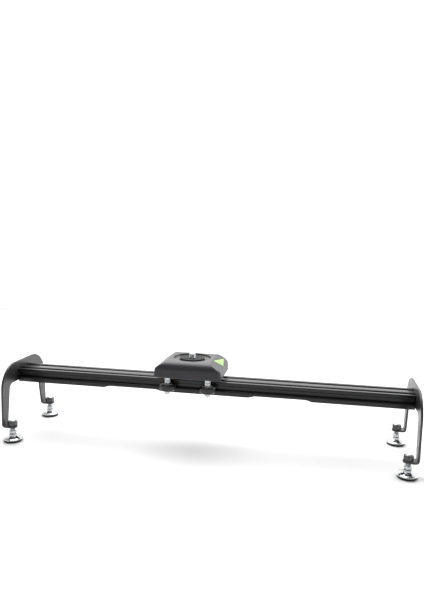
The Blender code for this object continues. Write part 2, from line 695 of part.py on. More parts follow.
def main():
    clear_scene()
    anodised = make_material("black_anodised", (0.02, 0.02, 0.021), 0.35, 0.7)
    powder = make_material("black_powder_coat", (0.05, 0.05, 0.052), 0.5)
    plastic = make_material("charcoal_plastic", (0.055, 0.055, 0.06), 0.55)
    acetal = make_material("black_acetal", (0.03, 0.03, 0.032), 0.4)
    steel = make_material("bright_steel", (0.75, 0.75, 0.76), 0.2, 1.0)
    zinc = make_material("chromed_zinc", (0.82, 0.82, 0.83), 0.12, 1.0)
    rubber = make_material("black_rubber", (0.02, 0.02, 0.02), 0.8)
    oxide = make_material("black_oxide", (0.02, 0.02, 0.02), 0.25, 0.8)
    aluminium = make_material("aluminium", (0.3, 0.3, 0.31), 0.35, 1.0)
    green = make_material("green_acrylic", (0.55, 0.85, 0.25), 0.08)

    add_rail(anodised)
    bracket = mesh_from(bracket_sheet(), "end_bracket", powder, False)
    add_bracket("left_bracket", bracket, math.pi)
    add_bracket("right_bracket", bracket, 0.0)
    add_end_screws(oxide)
    add_feet(zinc, steel, rubber, oxide)
    carriage = add_empty("carriage", (CARRIAGE_X, 0, WHEEL_Z))
    add_carriage(carriage, aluminium, plastic, rubber, steel, green)
    add_wheels(carriage, acetal, steel)


main()
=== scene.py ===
import math

import bmesh
import bpy
import numpy as np
from mathutils import Matrix, Vector


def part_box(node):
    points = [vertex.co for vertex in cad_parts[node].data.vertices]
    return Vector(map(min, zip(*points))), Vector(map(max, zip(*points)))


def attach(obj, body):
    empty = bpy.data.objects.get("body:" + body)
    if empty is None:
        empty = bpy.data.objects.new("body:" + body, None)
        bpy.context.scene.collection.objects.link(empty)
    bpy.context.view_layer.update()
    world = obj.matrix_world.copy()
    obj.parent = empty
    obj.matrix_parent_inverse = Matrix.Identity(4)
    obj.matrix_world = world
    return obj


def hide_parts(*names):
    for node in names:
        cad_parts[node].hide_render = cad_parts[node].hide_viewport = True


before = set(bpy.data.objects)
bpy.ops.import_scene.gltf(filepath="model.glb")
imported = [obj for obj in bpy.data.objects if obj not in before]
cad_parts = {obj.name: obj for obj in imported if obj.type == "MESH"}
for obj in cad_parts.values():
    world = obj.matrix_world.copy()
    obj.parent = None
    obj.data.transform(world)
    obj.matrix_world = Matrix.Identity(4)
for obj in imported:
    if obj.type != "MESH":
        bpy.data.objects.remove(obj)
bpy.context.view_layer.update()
MM = 0.001

# Studio. A camera a little to the right of the rail's middle, above its height and tipped down.
# The room is white behind and beside the slider and dimmer on the camera's side, with soft lights.
CAMERA_PLACE = Vector((158.15, -823.25, 330.02)) * MM
CAMERA_TURN, CAMERA_TIP, CAMERA_ROLL = -0.1829, 0.17475, 0.01905
CAMERA_LENS = 34.19
CAMERA_RISE = 0.044
ROOM_BACK, ROOM_FRONT = 1.75, 0.25

forward = Vector((
    math.sin(CAMERA_TURN) * math.cos(CAMERA_TIP),
    math.cos(CAMERA_TURN) * math.cos(CAMERA_TIP),
    -math.sin(CAMERA_TIP),
))
level_right = Vector((math.cos(CAMERA_TURN), -math.sin(CAMERA_TURN), 0))
level_up = level_right.cross(forward)
right = level_right * math.cos(CAMERA_ROLL) + level_up * math.sin(CAMERA_ROLL)
up = level_up * math.cos(CAMERA_ROLL) - level_right * math.sin(CAMERA_ROLL)
camera_data = bpy.data.cameras.new("camera")
camera_data.lens = CAMERA_LENS
camera_data.shift_y = CAMERA_RISE
camera_data.clip_start = 0.01
camera = bpy.data.objects.new("camera", camera_data)
camera.matrix_world = Matrix.Translation(CAMERA_PLACE) @ Matrix((right, up, -forward)).transposed().to_4x4()
bpy.context.scene.collection.objects.link(camera)
bpy.context.scene.camera = camera
bpy.context.scene.view_settings.view_transform = "Standard"

world = bpy.data.worlds.new("studio_room")
world.use_nodes = True
room = world.node_tree
room_direction = room.nodes.new("ShaderNodeTexCoord")
room_axes = room.nodes.new("ShaderNodeSeparateXYZ")
room_fade = room.nodes.new("ShaderNodeMapRange")
room_fade.interpolation_type = "SMOOTHSTEP"
room_fade.inputs["From Min"].default_value = -0.1
room_fade.inputs["From Max"].default_value = 0.8
room_fade.inputs["To Min"].default_value = ROOM_FRONT
room_fade.inputs["To Max"].default_value = ROOM_BACK
room.links.new(room_direction.outputs["Generated"], room_axes.inputs["Vector"])
room.links.new(room_axes.outputs["Y"], room_fade.inputs["Value"])
room.links.new(room_fade.outputs["Result"], room.nodes["Background"].inputs["Strength"])
room.nodes["Background"].inputs["Color"].default_value = (1, 1, 1, 1)
bpy.context.scene.world = world


def add_softbox(name, place, aim, width, power):
    """A square light at a place, turned so that it shines at the aim."""
    data = bpy.data.lights.new(name, "AREA")
    data.size = width
    data.energy = power
    light = bpy.data.objects.new(name, data)
    light.location = place
    light.rotation_euler = (Vector(aim) - Vector(place)).to_track_quat("-Z", "Y").to_euler()
    bpy.context.scene.collection.objects.link(light)


add_softbox("overhead_light", (-0.2, 0.35, 1.3), (0, -0.2, 0), 1.4, 26)
add_softbox("right_light", (1.3, 0.7, 0.6), (0, 0, 0.1), 0.8, 5)


# Materials are built from these few steps: a shader with its plain values on its own sockets,
# a noise on the piece's coordinates, and that noise led to the roughness, the colour or a bump.
def new_finish(name, colour, roughness, metallic=0.0, ior=1.5):
    material = bpy.data.materials.new(name)
    material.use_nodes = True
    shader = material.node_tree.nodes["Principled BSDF"]
    shader.inputs["Base Color"].default_value = (*colour, 1)
    shader.inputs["Roughness"].default_value = roughness
    shader.inputs["Metallic"].default_value = metallic
    shader.inputs["IOR"].default_value = ior
    return material


def add_noise(material, scale, detail=4.0, roughness=0.6):
    """Noise over the piece's own coordinates, with a scale in cycles per metre on each axis."""
    nodes, links = material.node_tree.nodes, material.node_tree.links
    place = nodes.new("ShaderNodeTexCoord")
    mapping = nodes.new("ShaderNodeMapping")
    mapping.inputs["Scale"].default_value = scale
    noise = nodes.new("ShaderNodeTexNoise")
    noise.inputs["Scale"].default_value = 1
    noise.inputs["Detail"].default_value = detail
    noise.inputs["Roughness"].default_value = roughness
    links.new(place.outputs["Object"], mapping.inputs["Vector"])
    links.new(mapping.outputs["Vector"], noise.inputs["Vector"])
    return noise.outputs["Fac"]


def vary_roughness(material, noise, low, high):
    nodes, links = material.node_tree.nodes, material.node_tree.links
    spread = nodes.new("ShaderNodeMapRange")
    spread.inputs["From Min"].default_value = 0.3
    spread.inputs["From Max"].default_value = 0.7
    spread.inputs["To Min"].default_value = low
    spread.inputs["To Max"].default_value = high
    links.new(noise, spread.inputs["Value"])
    links.new(spread.outputs["Result"], nodes["Principled BSDF"].inputs["Roughness"])


def vary_colour(material, noise, dark, light):
    nodes, links = material.node_tree.nodes, material.node_tree.links
    ramp = nodes.new("ShaderNodeValToRGB")
    ramp.color_ramp.elements[0].position = 0.35
    ramp.color_ramp.elements[0].color = (*dark, 1)
    ramp.color_ramp.elements[1].position = 0.65
    ramp.color_ramp.elements[1].color = (*light, 1)
    links.new(noise, ramp.inputs["Fac"])
    links.new(ramp.outputs["Color"], nodes["Principled BSDF"].inputs["Base Color"])


def add_relief(material, noise, height, strength=1.0):
    """Bumps the surface by a height in metres, on top of any bump that is there."""
    nodes, links = material.node_tree.nodes, material.node_tree.links
    bump = nodes.new("ShaderNodeBump")
    bump.inputs["Distance"].default_value = height
    bump.inputs["Strength"].default_value = strength
    normal = nodes["Principled BSDF"].inputs["Normal"]
    if normal.is_linked:
        links.new(normal.links[0].from_socket, bump.inputs["Normal"])
    links.new(noise, bump.inputs["Height"])
    links.new(bump.outputs["Normal"], normal)


# Table. A wide pale sheet that the rubber pads stand on; it isn't part of the slider.
# Its roughness drifts a little, as on a painted board.
table_finish = new_finish("pale_table", (0.86, 0.86, 0.86), 0.6)
vary_roughness(table_finish, add_noise(table_finish, (3, 3, 3)), 0.55, 0.7)
table_mesh = bpy.data.meshes.new("table")
TABLE_SIDE, TABLE_FRONT, TABLE_BACK = 3, -3, 1.2
table_mesh.from_pydata(
    [(-TABLE_SIDE, TABLE_FRONT, 0), (TABLE_SIDE, TABLE_FRONT, 0), (TABLE_SIDE, TABLE_BACK, 0),
     (-TABLE_SIDE, TABLE_BACK, 0)],
    [],
    [(0, 1, 2, 3)],
)
table_mesh.materials.append(table_finish)
table = bpy.data.objects.new("table", table_mesh)
bpy.context.scene.collection.objects.link(table)


# Rail. One 40 x 20 mm aluminium extrusion, 600 mm long and anodised black, with a V-slot in each
# side for the wheels and two in its top. Its underside is milled back between the brackets.
def skin(name, grid, finish, join_ends=False, sharp=40):
    """A mesh through a grid of points (rows, columns, 3). Each row closes round; the last row
    joins the first one, or each end row is closed by one face. Points that meet are merged."""
    rows, columns = grid.shape[:2]
    row = np.arange(rows if join_ends else rows - 1)[:, None]
    column = np.arange(columns)[None, :]
    next_row, next_column = (row + 1) % rows, (column + 1) % columns
    corners = (
        row * columns + column,
        row * columns + next_column,
        next_row * columns + next_column,
        next_row * columns + column,
    )
    faces = np.stack(np.broadcast_arrays(*corners), -1).reshape(-1, 4).tolist()
    if not join_ends:
        faces.append(list(range(columns)))
        faces.append(list(range((rows - 1) * columns, rows * columns)))
    mesh = bpy.data.meshes.new(name)
    mesh.from_pydata(grid.reshape(-1, 3).tolist(), [], faces)
    shape = bmesh.new()
    shape.from_mesh(mesh)
    bmesh.ops.remove_doubles(shape, verts=shape.verts, dist=1e-7)
    bmesh.ops.recalc_face_normals(shape, faces=shape.faces)
    shape.to_mesh(mesh)
    shape.free()
    mesh.materials.append(finish)
    mesh.shade_smooth()
    mesh.set_sharp_from_angle(angle=math.radians(sharp))
    piece = bpy.data.objects.new(name, mesh)
    bpy.context.scene.collection.objects.link(piece)
    return piece


def fit(piece, body, slot, *nodes):
    """Hangs a finished piece on its CAD body, in place of its CAD nodes."""
    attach(piece, body)
    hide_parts(*nodes)


def round_corners(corners, radius, steps=3):
    """A closed outline whose corners are turned into quadratic curves. A curve starts and ends
    one radius from its corner, or half way along a side that is too short."""
    corners = np.asarray(corners, float)
    radius = np.broadcast_to(radius, len(corners))
    curves = []
    for neighbour in (np.roll(corners, 1, 0), np.roll(corners, -1, 0)):
        side = neighbour - corners
        length = np.linalg.norm(side, axis=1)
        reach = np.minimum(radius, 0.49 * length)
        curves.append(corners + side / length[:, None] * reach[:, None])
    t = np.linspace(0, 1, steps + 1)[None, :, None]
    start, end, corner = curves[0][:, None], curves[1][:, None], corners[:, None]
    return ((1 - t) ** 2 * start + 2 * t * (1 - t) * corner + t**2 * end).reshape(-1, 2)


def cut_away(piece, cutter):
    """Takes the cutter's shape out of the piece for good, and removes the cutter."""
    modifier = piece.modifiers.new("cut", "BOOLEAN")
    modifier.solver = "EXACT"
    modifier.object = cutter
    shaped = bpy.data.meshes.new_from_object(piece.evaluated_get(bpy.context.evaluated_depsgraph_get()))
    piece.modifiers.clear()
    piece.data = shaped
    bpy.data.objects.remove(cutter)


def drilled(piece, centre, axis, radius, length):
    """Drills a round hole of that length, centred on the centre."""
    angle = np.linspace(0, 2 * math.pi, 48, endpoint=False)
    ring = np.stack([radius * np.cos(angle), radius * np.sin(angle), np.zeros(48)], -1)
    ends = np.array([-length / 2, length / 2])[:, None, None] * np.array([0, 0, 1.0])
    turn = np.array(Vector((0, 0, 1)).rotation_difference(Vector(axis)).to_matrix())
    cut_away(piece, skin("drill", (ring[None] + ends) @ turn.T + np.array(centre), piece.data.materials[0]))


rail_finish = new_finish("black_anodised_rail", (0.005, 0.005, 0.0055), 0.3, 0.0, 1.45)
drawn_lines = add_noise(rail_finish, (2, 900, 900), 5)
vary_roughness(rail_finish, drawn_lines, 0.2, 0.36)
add_relief(rail_finish, drawn_lines, 0.00002, 0.6)
vary_colour(rail_finish, add_noise(rail_finish, (9, 60, 60), 3),
            (0.003, 0.003, 0.0035), (0.007, 0.007, 0.0075))

rail_low, rail_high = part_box("rail")
RAIL_SIDE = rail_high.y
RAIL_RISE = rail_high.z - rail_low.z
SIDE_SLOT_RISE = 11.2 * MM
TOP_SLOT_REACH = RAIL_SIDE / 2
SLOT_HALF = np.array([(4.6, 0), (3.1, 1.5), (3.1, 1.8), (5, 1.8), (5, 3.2), (2.85, 5.4)]) * MM
RELIEF_DEPTH, END_BREAK = 2.6 * MM, 0.4 * MM
RELIEF_RAMPS = np.array([(64, 77), (147, 160)]) * MM

slot = np.concatenate([SLOT_HALF * (-1, 1), SLOT_HALF[::-1]])
right_half = np.concatenate([
    [(RAIL_SIDE, 0)],
    np.stack([RAIL_SIDE - slot[:, 1], SIDE_SLOT_RISE + slot[:, 0]], 1),
    [(RAIL_SIDE, RAIL_RISE)],
    np.stack([TOP_SLOT_REACH - slot[:, 0], RAIL_RISE - slot[:, 1]], 1),
])
section = round_corners(np.concatenate([right_half, right_half[::-1] * (-1, 1)]), 0.45 * MM)
along = np.concatenate([np.linspace(a, b, 14) for a, b in RELIEF_RAMPS]
                       + [[0, rail_high.x - END_BREAK, rail_high.x]])
along = np.unique(np.concatenate([-along, along]))
ramp_in = np.clip((abs(along) - RELIEF_RAMPS[0, 0]) / np.ptp(RELIEF_RAMPS[0]), 0, 1)
ramp_out = np.clip((RELIEF_RAMPS[1, 1] - abs(along)) / np.ptp(RELIEF_RAMPS[1]), 0, 1)
relief = RELIEF_DEPTH * (1 - np.cos(math.pi * np.minimum(ramp_in, ramp_out))) / 2
lower_edge = section[:, 1] < 1 * MM
rail_grid = np.empty((len(along), len(section), 3))
rail_grid[..., 0] = along[:, None]
rail_grid[..., 1] = section[:, 0]
rail_grid[..., 2] = rail_low.z + section[:, 1] + relief[:, None] * lower_edge
rail_grid[[0, -1], :, 1:] += (np.array([0, rail_low.z + RAIL_RISE / 2]) - rail_grid[[0, -1], :, 1:]) * 0.006
rail = skin("slotted_rail", rail_grid, rail_finish, sharp=25)

SCREW_BORE, BORE_REACH, BORE_RISE = 2.9 * MM, 9 * MM, 8 * MM
for reach in (-BORE_REACH, BORE_REACH):
    drilled(rail, (0, reach, rail_low.z + BORE_RISE), (1, 0, 0), SCREW_BORE, 1)
fit(rail, "frame", "anodised_rail", "rail")


# End brackets. Each is an arch of 3 mm steel plate with two tapering legs, bent under into a
# round-ended tab at each foot, with its edges broken, and powder coated black.
bracket_finish = new_finish("black_powder_coat", (0.014, 0.014, 0.014), 0.33, 0.0, 1.62)
coat_grain = add_noise(bracket_finish, (1400, 1400, 1400), 3)
add_relief(bracket_finish, coat_grain, 0.00004, 0.35)
vary_roughness(bracket_finish, add_noise(bracket_finish, (25, 25, 25), 3), 0.28, 0.4)
vary_colour(bracket_finish, add_noise(bracket_finish, (60, 60, 60), 5),
            (0.011, 0.011, 0.011), (0.018, 0.018, 0.018))

PLATE = 3 * MM
PLATE_EDGE, FACE_ROW = 0.6 * MM, 0.3 * MM
LEG_REACH = 61.8 * MM
LEG_FOOT_HALF = 7.3 * MM
TAB_TOP = 24.5 * MM
BEND = 2 * MM
SHOULDER_REACH, SHOULDER_RADIUS = 28.1 * MM, 39.2 * MM
FILLET_CENTRE, FILLET_RADIUS = np.array([36.7, 74]) * MM, 10 * MM


def bracket(name, end):
    """One band carried from one tab's tip, round its bend, up a leg and to the arch's middle, and
    mirrored back down. A row is a rounded rectangle between the band's outer and inner edges."""
    foot_x = end * sum(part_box(f"{name}_front_foot_stud"), Vector()).x / 2
    inner_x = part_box(f"{name}_bracket")[1 if end > 0 else 0].x * end - PLATE
    tip = np.sin(np.linspace(0, math.pi / 2, 12))
    tab_x = np.concatenate([foot_x - LEG_FOOT_HALF * np.cos(np.arcsin(tip)), [inner_x - BEND]])
    tab_half = np.concatenate([LEG_FOOT_HALF * tip, [LEG_FOOT_HALF]])
    bend = np.linspace(0, math.pi / 2, 8)[1:]
    arc = np.linspace(0, math.pi / 2, 24)[1:]
    climb = np.linspace(0, 1, 12)[1:, None]
    across = np.linspace(0, 1, 8)[1:, None]

    shoulder = np.array([SHOULDER_REACH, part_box(f"{name}_bracket")[1].z - SHOULDER_RADIUS])
    foot_outer = np.array([LEG_REACH + LEG_FOOT_HALF, TAB_TOP + BEND])
    foot_inner = np.array([LEG_REACH - LEG_FOOT_HALF, TAB_TOP + BEND])
    circle = np.stack([np.cos(arc), np.sin(arc)], 1)
    outer_side = shoulder + np.array([SHOULDER_RADIUS, 0])
    inner_side = FILLET_CENTRE + np.array([FILLET_RADIUS, 0])
    outer_arc = shoulder + SHOULDER_RADIUS * circle
    inner_arc = FILLET_CENTRE + FILLET_RADIUS * circle
    outer = np.concatenate([foot_outer + (outer_side - foot_outer) * climb, outer_arc,
                            outer_arc[-1] * (1 - across * (1, 0))])
    inner = np.concatenate([foot_inner + (inner_side - foot_inner) * climb, inner_arc,
                            inner_arc[-1] * (1 - across * (1, 0))])

    flat = len(outer)
    centre = np.concatenate([
        np.stack([tab_x, np.full(len(tab_x), LEG_REACH), np.full(len(tab_x), TAB_TOP)], 1),
        np.stack([inner_x - BEND * (1 - np.sin(bend)), np.full(len(bend), LEG_REACH),
                  TAB_TOP + BEND * (1 - np.cos(bend))], 1),
        np.stack([np.full(flat, inner_x), *((outer + inner) / 2).T], 1),
    ])
    half = np.concatenate([tab_half, np.full(len(bend), LEG_FOOT_HALF),
                           np.linalg.norm(outer - inner, axis=1) / 2])
    outward = (outer - inner) / np.linalg.norm(outer - inner, axis=1)[:, None]
    side = np.concatenate([
        np.tile([0, 1.0, 0], (len(tab_x) + len(bend), 1)),
        np.concatenate([np.zeros((flat, 1)), outward], 1),
    ])
    through = np.concatenate([
        np.tile([0, 0, -1.0], (len(tab_x), 1)),
        np.stack([np.sin(bend), 0 * bend, -np.cos(bend)], 1),
        np.tile([1.0, 0, 0], (flat, 1)),
    ])
    corner = np.append(np.linspace(0, math.pi / 2, 5), math.pi / 2)
    turn = np.concatenate([corner, math.pi - corner[::-1], math.pi + corner, 2 * math.pi - corner[::-1]])
    on_face = np.tile([0, 0, 0, 0, 0, FACE_ROW, FACE_ROW, 0, 0, 0, 0, 0], 2)
    sign_u = np.repeat([1, -1, -1, 1], len(corner))
    sign_t = np.repeat([1, 1, -1, -1], len(corner))
    edge = np.minimum(PLATE_EDGE, half)[:, None]
    u = sign_u * (half[:, None] - edge - np.minimum(on_face, half[:, None] - edge)) + edge * np.cos(turn)
    t = PLATE / 2 + sign_t * (PLATE / 2 - edge) + edge * np.sin(turn)
    grid = centre[:, None] + side[:, None] * u[..., None] + through[:, None] * t[..., None]
    mirrored = grid[-2::-1] * (1, -1, 1)
    grid = np.concatenate([grid, mirrored]) * (end, end, 1)
    piece = skin(f"{name}_arch_bracket", grid, bracket_finish, sharp=50)
    for reach in (-LEG_REACH, LEG_REACH):
        drilled(piece, (end * foot_x, reach, TAB_TOP), (0, 0, 1), 4.5 * MM, 12 * MM)
    for reach in (-BORE_REACH, BORE_REACH):
        drilled(piece, (end * inner_x, reach, rail_low.z + BORE_RISE), (1, 0, 0), SCREW_BORE, 12 * MM)
    fit(piece, "frame", "powder_coated_steel", f"{name}_bracket")


bracket("left", -1)
bracket("right", 1)


# End screws. Black steel button-head screws, two to a bracket, that clamp it to the rail's end.
# Each is turned round its own axis, with a hexagon socket in a domed head.
def lathe(name, profile, finish, foot, axis=(0, 0, 1), bored=False, pitch=1.0, columns=96, sharp=35):
    """A piece turned round an axis through its foot. A profile point is (radius, height, flats,
    groove): a hexagon across those flats trims the radius unless they are zero, and the groove
    is a V that winds round the piece once in a pitch. A bored profile closes on itself."""
    points = np.array([(*point, 0, 0)[:4] for point in profile], float)
    radius, height, flats, groove = (points[:, [i]] for i in range(4))
    angle = np.linspace(0, 2 * math.pi, columns, endpoint=False)[None, :]
    sixth = (angle + math.pi / 6) % (math.pi / 3) - math.pi / 6
    radius = np.where(flats > 0, np.minimum(radius, flats / 2 / np.cos(sixth)), radius)
    radius = radius - groove * abs((height / pitch - angle / (2 * math.pi)) % 1 * 2 - 1)
    grid = np.stack([radius * np.cos(angle), radius * np.sin(angle), height + 0 * angle], -1)
    turn = np.array(Vector((0, 0, 1)).rotation_difference(Vector(axis)).to_matrix())
    return skin(name, grid @ turn.T + np.array(foot), finish, bored, sharp)


def rounded(points, radius, steps=4):
    """Rounds the corners of an open profile of (radius, height) points, but not its two ends."""
    points = np.asarray(points, float)
    inner, before, after = points[1:-1], points[:-2], points[2:]
    sides = []
    for neighbour in (before, after):
        side = neighbour - inner
        length = np.linalg.norm(side, axis=1)
        sides.append(inner + side / length[:, None] * np.minimum(radius, 0.49 * length)[:, None])
    t = np.linspace(0, 1, steps + 1)[None, :, None]
    curve = (1 - t) ** 2 * sides[0][:, None] + 2 * t * (1 - t) * inner[:, None] + t**2 * sides[1][:, None]
    return [tuple(point) for point in np.concatenate([points[:1], curve.reshape(-1, 2), points[-1:]])]


def thread(radius, low, high, depth, pitch):
    """Profile points up a thread, eight to a turn, whose groove fades in at both ends."""
    heights = np.arange(low, high, pitch / 8)
    fade = np.clip(np.minimum(heights - low, high - heights) / pitch, 0, 1)
    return [(radius, height, 0, depth * share) for height, share in zip(heights, fade)]


def button_screw(name, finish, foot, axis, radius, length, head_radius, head_height, pitch):
    """A button-head screw whose head stands on its foot, with a hexagon socket in the dome."""
    flats = 1.1 * radius
    tip = -length
    dome = np.linspace(0, 1, 10)
    head = [(head_radius - 0.15 * MM, 0), (head_radius, 0.15 * MM), (head_radius, 0.28 * head_height)]
    head += [
        (head_radius - 0.42 * head_radius * (1 - math.cos(share * math.pi / 2)),
         (0.28 + 0.72 * math.sin(share * math.pi / 2)) * head_height)
        for share in dome
    ]
    socket = [
        (flats / 2 / math.cos(math.pi / 6) + 0.15 * MM, head_height),
        (radius, head_height - 0.15 * MM, flats),
        (radius, 0.4 * head_height, flats),
        (0.2 * radius, 0.3 * head_height),
        (0, 0.28 * head_height),
    ]
    shank = [(0, tip), (radius - 0.5 * MM, tip)]
    shank += thread(radius, tip + 0.4 * MM, -0.8 * MM, 0.6 * pitch, pitch)
    shank += [(radius, -0.5 * MM), (radius, 0)]
    return lathe(name, shank + head + socket, finish, foot, axis, pitch=pitch, columns=72)


oxide_finish = new_finish("black_oxide_steel", (0.012, 0.012, 0.013), 0.2, 0.0, 1.75)
vary_roughness(oxide_finish, add_noise(oxide_finish, (300, 300, 300), 5), 0.12, 0.3)
vary_colour(oxide_finish, add_noise(oxide_finish, (180, 180, 180), 4),
            (0.008, 0.008, 0.01), (0.024, 0.024, 0.028))
add_relief(oxide_finish, add_noise(oxide_finish, (900, 900, 900), 3), 0.00002, 0.4)

M5_RADIUS, M5_PITCH = 2.5 * MM, 0.8 * MM
M5_HEAD_RADIUS, M5_HEAD_HEIGHT = 4.75 * MM, 2.7 * MM
END_SCREW_LENGTH = 14 * MM
for end in ("left", "right"):
    side = 1 if end == "right" else -1
    for row in ("front", "back"):
        low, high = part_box(f"{end}_{row}_end_screw")
        head_x = max(abs(low.x), abs(high.x)) - M5_HEAD_HEIGHT
        head = (side * head_x, (low.y + high.y) / 2, (low.z + high.z) / 2)
        screw = button_screw(f"{end}_{row}_bracket_screw", oxide_finish, head, (side, 0, 0), M5_RADIUS,
                             END_SCREW_LENGTH, M5_HEAD_RADIUS, M5_HEAD_HEIGHT, M5_PITCH)
        fit(screw, "frame", "black_oxide_steel", f"{end}_{row}_end_screw")


# Foot discs. Pressed steel discs in bright chrome, domed up to a neck that holds the stud, with
# a rolled rim. The press leaves faint ripples round them.
chrome_finish = new_finish("bright_chrome", (0.5, 0.505, 0.51), 0.1, 1.0)
vary_roughness(chrome_finish, add_noise(chrome_finish, (160, 160, 160), 4), 0.05, 0.14)
add_relief(chrome_finish, add_noise(chrome_finish, (120, 120, 120), 2), 0.00003, 0.5)
vary_colour(chrome_finish, add_noise(chrome_finish, (90, 90, 90), 4),
            (0.44, 0.45, 0.455), (0.54, 0.545, 0.55))

FEET = [(end, row) for end in ("left", "right") for row in ("front", "back")]
DISC_RIM = 14.8 * MM
DISC_NECK = 5.7 * MM
DISC_BORE = 4.4 * MM
DISC_DOME, DISC_RISE = 4.9 * MM, 8 * MM
slope = DISC_RIM - DISC_NECK
disc_top = [
    (DISC_BORE, 0), (DISC_RIM - 1.6 * MM, 0), (DISC_RIM, 0), (DISC_RIM, 1.3 * MM),
    (DISC_RIM - 1.1 * MM, 1.35 * MM), (DISC_NECK + 0.72 * slope, 0.5 * DISC_DOME),
    (DISC_NECK + 0.34 * slope, 0.8 * DISC_DOME), (DISC_NECK, DISC_DOME), (DISC_NECK, DISC_RISE),
    (DISC_BORE, DISC_RISE),
]
for end, row in FEET:
    low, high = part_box(f"{end}_{row}_foot_disc")
    foot = ((low.x + high.x) / 2, (low.y + high.y) / 2, low.z)
    disc = lathe(f"{end}_{row}_chrome_disc", rounded(disc_top, 0.55 * MM, 6), chrome_finish, foot,
                 bored=True, columns=128)
    fit(disc, f"{end}_{row}_foot", "chromed_zinc", f"{end}_{row}_foot_disc")


# Foot pads. Moulded black rubber rings under the discs, with fine tread grooves round their
# sides and rings cut in their undersides.
rubber_finish = new_finish("black_rubber", (0.012, 0.012, 0.012), 0.6)
vary_roughness(rubber_finish, add_noise(rubber_finish, (400, 400, 400), 4), 0.55, 0.8)
add_relief(rubber_finish, add_noise(rubber_finish, (1800, 1800, 1800), 3), 0.00005, 0.5)
vary_colour(rubber_finish, add_noise(rubber_finish, (120, 120, 120), 4),
            (0.009, 0.009, 0.009), (0.02, 0.02, 0.019))

PAD_RADIUS, PAD_RISE = 13.4 * MM, 3.2 * MM
pad_ring = [(0, 0.8 * MM), (5 * MM, 0.8 * MM), (5.6 * MM, 0)]
for reach in (7, 8.8, 10.6):
    pad_ring += [(reach * MM, 0), ((reach + 0.3) * MM, 0.5 * MM), ((reach + 0.7) * MM, 0.5 * MM),
                 ((reach + 1) * MM, 0)]
pad_ring += [(PAD_RADIUS - 0.7 * MM, 0), (PAD_RADIUS, 0.7 * MM), (PAD_RADIUS, 1.4 * MM),
             (PAD_RADIUS - 0.3 * MM, 1.6 * MM), (PAD_RADIUS, 1.8 * MM), (PAD_RADIUS, PAD_RISE),
             (0, PAD_RISE)]
for end, row in FEET:
    low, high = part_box(f"{end}_{row}_foot_pad")
    foot = ((low.x + high.x) / 2, (low.y + high.y) / 2, low.z)
    pad = lathe(f"{end}_{row}_rubber_pad", rounded(pad_ring, 0.2 * MM, 3), rubber_finish, foot)
    fit(pad, f"{end}_{row}_foot", "black_rubber", f"{end}_{row}_foot_pad")


# Foot studs. M8 threaded studs in bright zinc plate, with a hexagon collar for a spanner over
# the neck that sits in the disc.
zinc_finish = new_finish("bright_zinc_plate", (0.62, 0.65, 0.67), 0.28, 0.6)
vary_roughness(zinc_finish, add_noise(zinc_finish, (250, 250, 250), 4), 0.2, 0.38)
add_relief(zinc_finish, add_noise(zinc_finish, (700, 700, 700), 3), 0.00002, 0.4)
vary_colour(zinc_finish, add_noise(zinc_finish, (150, 150, 150), 4), (0.56, 0.6, 0.62), (0.7, 0.72, 0.74))

M8_RADIUS, M8_PITCH = 4 * MM, 1.25 * MM
COLLAR_FLATS, COLLAR_FOOT, COLLAR_RISE = 10 * MM, 8.7 * MM, 4.4 * MM


def hex_band(flats, low, high, bite):
    """Profile points up a hexagon's side. A cone trims its corners at both ends and at mid height
    they are a little blunt."""
    blunt = flats / 2 / math.cos(math.pi / 6) - 0.12 * MM
    share = np.linspace(0, 1, 7)
    rise = [(flats / 2 * 0.98 + (blunt - flats / 2 * 0.98) * s, low + bite * s, flats) for s in share]
    fall = [(radius, high - (height - low), flats) for radius, height, flats in reversed(rise)]
    return rise + fall


for end, row in FEET:
    low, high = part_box(f"{end}_{row}_foot_stud")
    length = high.z - low.z
    collar_top = COLLAR_FOOT + COLLAR_RISE
    stud_profile = [(0, 0), (M8_RADIUS - 0.6 * MM, 0), (M8_RADIUS, 0.6 * MM), (M8_RADIUS, COLLAR_FOOT)]
    stud_profile += hex_band(COLLAR_FLATS, COLLAR_FOOT, collar_top, 0.7 * MM)
    stud_profile += [(M8_RADIUS, collar_top)]
    stud_profile += thread(M8_RADIUS, collar_top + 0.2 * MM, length - 0.5 * MM, 0.7 * MM, M8_PITCH)
    stud_profile += [(M8_RADIUS - 0.7 * MM, length), (0, length)]
    foot = ((low.x + high.x) / 2, (low.y + high.y) / 2, low.z)
    stud = lathe(f"{end}_{row}_threaded_stud", stud_profile, zinc_finish, foot, pitch=M8_PITCH)
    fit(stud, f"{end}_{row}_stud", "bright_zinc_steel", f"{end}_{row}_foot_stud")


# Lock nuts. M8 hexagon nuts in black oxide steel, screwed down on top of the bracket tabs, with
# both ends chamfered.
M8_BORE, M8_FLATS = 4.5 * MM, 13 * MM
for end, row in FEET:
    low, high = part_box(f"{end}_{row}_foot_nut")
    rise = high.z - low.z
    nut_profile = [(M8_BORE + 0.5 * MM, 0)] + hex_band(M8_FLATS, 0, rise, 1.1 * MM)
    nut_profile += [(M8_BORE + 0.5 * MM, rise), (M8_BORE, rise - 0.5 * MM)]
    nut_profile += [(M8_BORE, 0.5 * MM)]
    foot = ((low.x + high.x) / 2, (low.y + high.y) / 2, low.z)
    nut = lathe(f"{end}_{row}_lock_nut", nut_profile, oxide_finish, foot, bored=True)
    fit(nut, "frame", "black_oxide_steel", f"{end}_{row}_foot_nut")


